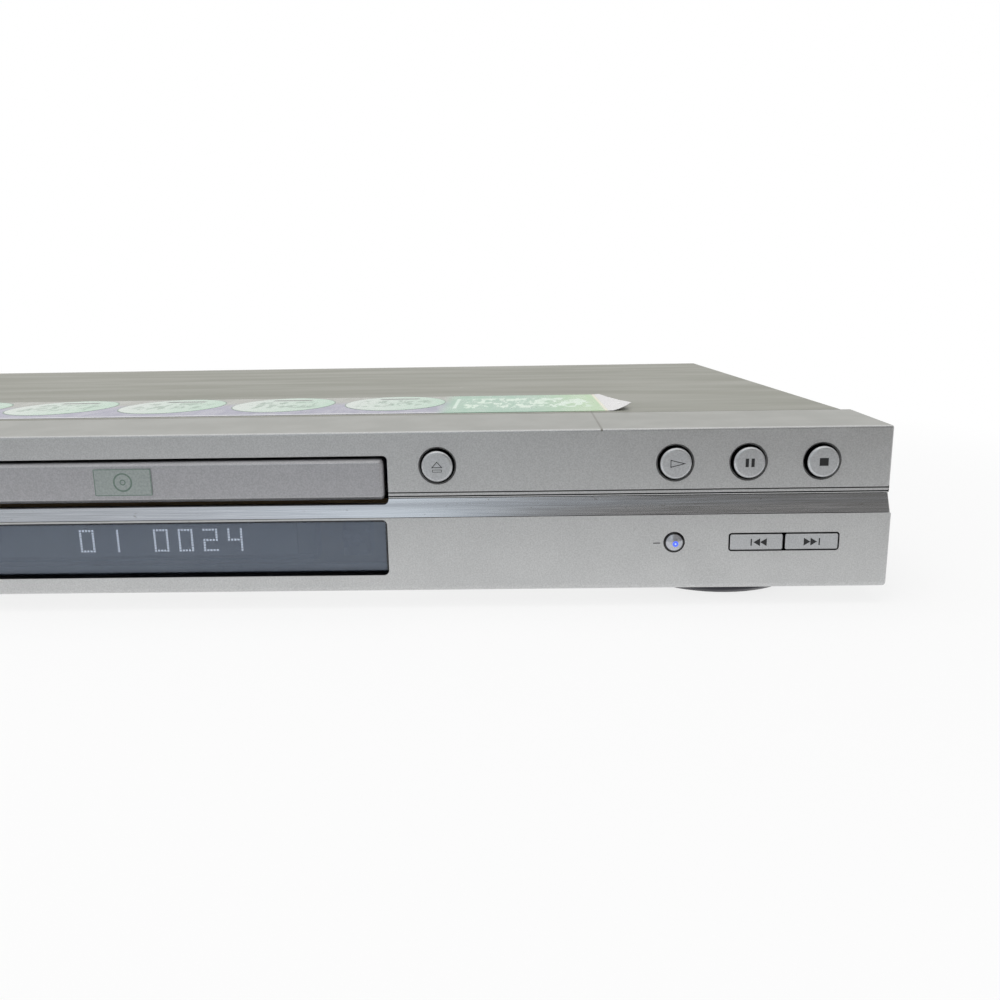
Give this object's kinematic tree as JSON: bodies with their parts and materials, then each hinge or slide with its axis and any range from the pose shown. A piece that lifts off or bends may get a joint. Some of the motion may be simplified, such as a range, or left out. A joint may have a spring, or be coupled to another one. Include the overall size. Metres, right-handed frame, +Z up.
{
  "type": "disc player",
  "caption": "Full-width silver disc player with a motor-driven disc tray, round transport buttons, a smoked display window and rear phono sockets.",
  "frame": {"origin": "on the surface the player stands on, in the middle of its overall width and depth", "axes": "+X to the right as seen from the front, +Y to the back, +Z up"},
  "size_m": [0.43, 0.2683, 0.0536],
  "materials": {
    "cover_paint": "satin silver-grey paint on steel",
    "pan_steel": "galvanised steel sheet",
    "rear_paint": "satin paint on steel",
    "panel_silver": "moulded plastic with metallic silver paint",
    "band_aluminium": "brushed along its length",
    "window_smoke": "smoked acrylic",
    "foot_black": "moulded black plastic",
    "screw_steel": "zinc-plated steel",
    "screw_silver": "nickel-plated steel",
    "loader_black": "moulded black plastic",
    "bridge_steel": "galvanised steel sheet",
    "motor_steel": "plated motor can",
    "belt_rubber": "black rubber",
    "tray_grey": "moulded dark grey plastic",
    "door_silver": "moulded plastic with metallic silver paint",
    "badge_silver": "printed plate",
    "gear_white": "acetal",
    "gear_black": "acetal",
    "traverse_steel": "pressed steel",
    "rod_steel": "ground steel",
    "turntable_black": "rubber-faced plastic",
    "clamper_white": "acetal",
    "sled_metal": "die-cast zinc",
    "lens_glass": "coated lens",
    "board_green": "circuit board with solder mask",
    "board_tan": "phenolic paper board",
    "chip_black": "moulded epoxy",
    "transformer_yellow": "taped winding on a ferrite core",
    "capacitor_sleeve": "shrink sleeve on an aluminium can",
    "sink_aluminium": "extruded aluminium",
    "ribbon_white": "laminated flat cable",
    "barrel_nickel": "nickel-plated brass",
    "insert_white": "moulded plastic",
    "insert_red": "moulded plastic",
    "insert_yellow": "moulded plastic",
    "insert_green": "moulded plastic",
    "insert_blue": "moulded plastic",
    "insert_orange": "moulded plastic",
    "socket_black": "moulded plastic",
    "tube_glass": "fluorescent display tube",
    "receiver_dark": "infrared-clear epoxy",
    "lens_clear": "clear acrylic",
    "diode_blue": "blue diode",
    "button_silver": "moulded plastic with metallic silver paint",
    "label_print": "printed film"
  },
  "bodies": {
    "cabinet": {"top_cover": "cover_paint", "feature_label": "label_print", "chassis_pan": "pan_steel", "rear_panel": "rear_paint", "front_panel": "panel_silver", "trim_band": "band_aluminium", "display_window": "window_smoke", "feet": "foot_black", "cover_screws": "screw_silver", "rear_screws": "screw_steel", "chassis_screws": "screw_steel", "loader_frame": "loader_black", "clamp_bridge": "bridge_steel", "loading_motor": "motor_steel", "drive_belt": "belt_rubber", "main_board": "board_green", "main_board_chips": "chip_black", "power_board": "board_tan", "transformer": "transformer_yellow", "capacitors": "capacitor_sleeve", "heat_sink": "sink_aluminium", "ribbon_cables": "ribbon_white", "phono_shells": "barrel_nickel", "phono_inserts_white": "insert_white", "phono_inserts_red": "insert_red", "phono_inserts_yellow": "insert_yellow", "phono_inserts_green": "insert_green", "phono_inserts_blue": "insert_blue", "phono_inserts_orange": "insert_orange", "svideo_socket": "socket_black", "mains_inlet": "socket_black", "front_board": "board_tan", "tact_switches": "chip_black", "display_tube": "tube_glass", "remote_receiver": "receiver_dark", "lamp_lens": "lens_clear", "lamp_diode": "diode_blue"},
    "tray_body": {"disc_tray": "tray_grey", "tray_door": "door_silver", "door_badge": "badge_silver"},
    "drive_gear_body": {"drive_gear": "gear_white"},
    "pulley_gear_body": {"pulley_gear": "gear_white"},
    "motor_pulley_body": {"motor_pulley": "gear_black"},
    "cam_body": {"cam_slider": "gear_white"},
    "traverse_body": {"traverse_frame": "traverse_steel", "spindle_motor": "motor_steel", "guide_rods": "rod_steel", "feed_motor": "motor_steel"},
    "turntable_body": {"turntable": "turntable_black"},
    "pickup_body": {"pickup_sled": "sled_metal", "objective_lens": "lens_glass"},
    "feed_screw_body": {"feed_screw": "rod_steel"},
    "clamper_body": {"clamper": "clamper_white"},
    "power_button_body": {"power_button": "button_silver"},
    "eject_button_body": {"eject_button": "button_silver"},
    "play_button_body": {"play_button": "button_silver"},
    "pause_button_body": {"pause_button": "button_silver"},
    "stop_button_body": {"stop_button": "button_silver"},
    "previous_key_body": {"previous_key": "button_silver"},
    "next_key_body": {"next_key": "button_silver"}
  },
  "joints": [
    {"name": "tray_slide", "type": "slide", "parent": "cabinet", "child": "tray_body", "axis": [0, -1, 0], "range_m": [0, 0.13]},
    {"name": "drive_gear_spin", "type": "hinge", "parent": "cabinet", "child": "drive_gear_body", "pos_m": [-0.045, -0.0997, 0.032], "axis": [0, 0, 1], "range_deg": [0, 465.54]},
    {"name": "pulley_gear_spin", "type": "hinge", "parent": "cabinet", "child": "pulley_gear_body", "pos_m": [-0.02446, -0.10295, 0.03], "axis": [0, 0, 1], "range_deg": [-1551.77, 0]},
    {"name": "motor_pulley_spin", "type": "hinge", "parent": "cabinet", "child": "motor_pulley_body", "pos_m": [0.014, -0.1037, 0.029], "axis": [0, 0, 1], "range_deg": [-5179.26, 0]},
    {"name": "cam_slide", "type": "slide", "parent": "cabinet", "child": "cam_body", "axis": [1, 0, 0], "range_m": [0, 0.01301]},
    {"name": "traverse_tilt", "type": "hinge", "parent": "cabinet", "child": "traverse_body", "pos_m": [0, 0.0213, 0.025], "axis": [1, 0, 0], "range_deg": [0, 3.51]},
    {"name": "spindle_spin", "type": "hinge", "parent": "traverse_body", "child": "turntable_body", "pos_m": [0, -0.0637, 0.0367], "axis": [0, 0, 1], "continuous": true},
    {"name": "pickup_slide", "type": "slide", "parent": "traverse_body", "child": "pickup_body", "axis": [0, 1, 0], "range_m": [0, 0.034]},
    {"name": "feed_screw_spin", "type": "hinge", "parent": "traverse_body", "child": "feed_screw_body", "pos_m": [0.038, -0.0237, 0.0245], "axis": [0, 1, 0], "range_deg": [0, 4080.1]},
    {"name": "clamper_spin", "type": "hinge", "parent": "cabinet", "child": "clamper_body", "pos_m": [0, -0.0637, 0.043], "axis": [0, 0, 1], "continuous": true},
    {"name": "power_button_press", "type": "slide", "parent": "cabinet", "child": "power_button_body", "axis": [0, 1, 0], "range_m": [0, 0.0008], "stiffness_N_per_m": 400},
    {"name": "eject_button_press", "type": "slide", "parent": "cabinet", "child": "eject_button_body", "axis": [0, 1, 0], "range_m": [0, 0.0008], "stiffness_N_per_m": 400},
    {"name": "play_button_press", "type": "slide", "parent": "cabinet", "child": "play_button_body", "axis": [0, 1, 0], "range_m": [0, 0.0008], "stiffness_N_per_m": 400},
    {"name": "pause_button_press", "type": "slide", "parent": "cabinet", "child": "pause_button_body", "axis": [0, 1, 0], "range_m": [0, 0.0008], "stiffness_N_per_m": 400},
    {"name": "stop_button_press", "type": "slide", "parent": "cabinet", "child": "stop_button_body", "axis": [0, 1, 0], "range_m": [0, 0.0008], "stiffness_N_per_m": 400},
    {"name": "previous_key_press", "type": "slide", "parent": "cabinet", "child": "previous_key_body", "axis": [0, 1, 0], "range_m": [0, 0.0008], "stiffness_N_per_m": 400},
    {"name": "next_key_press", "type": "slide", "parent": "cabinet", "child": "next_key_body", "axis": [0, 1, 0], "range_m": [0, 0.0008], "stiffness_N_per_m": 400}
  ],
  "couplings": [
    {"joint": "drive_gear_spin", "follows": "tray_slide", "rad_per_m": 62.5},
    {"joint": "pulley_gear_spin", "follows": "tray_slide", "rad_per_m": -208.33},
    {"joint": "motor_pulley_spin", "follows": "tray_slide", "rad_per_m": -695.35},
    {"joint": "cam_slide", "follows": "tray_slide", "ratio": 0.1},
    {"joint": "traverse_tilt", "follows": "tray_slide", "rad_per_m": 0.4699},
    {"joint": "clamper_spin", "follows": "spindle_spin", "ratio": 1},
    {"joint": "feed_screw_spin", "follows": "pickup_slide", "rad_per_m": 2094.4}
  ]
}
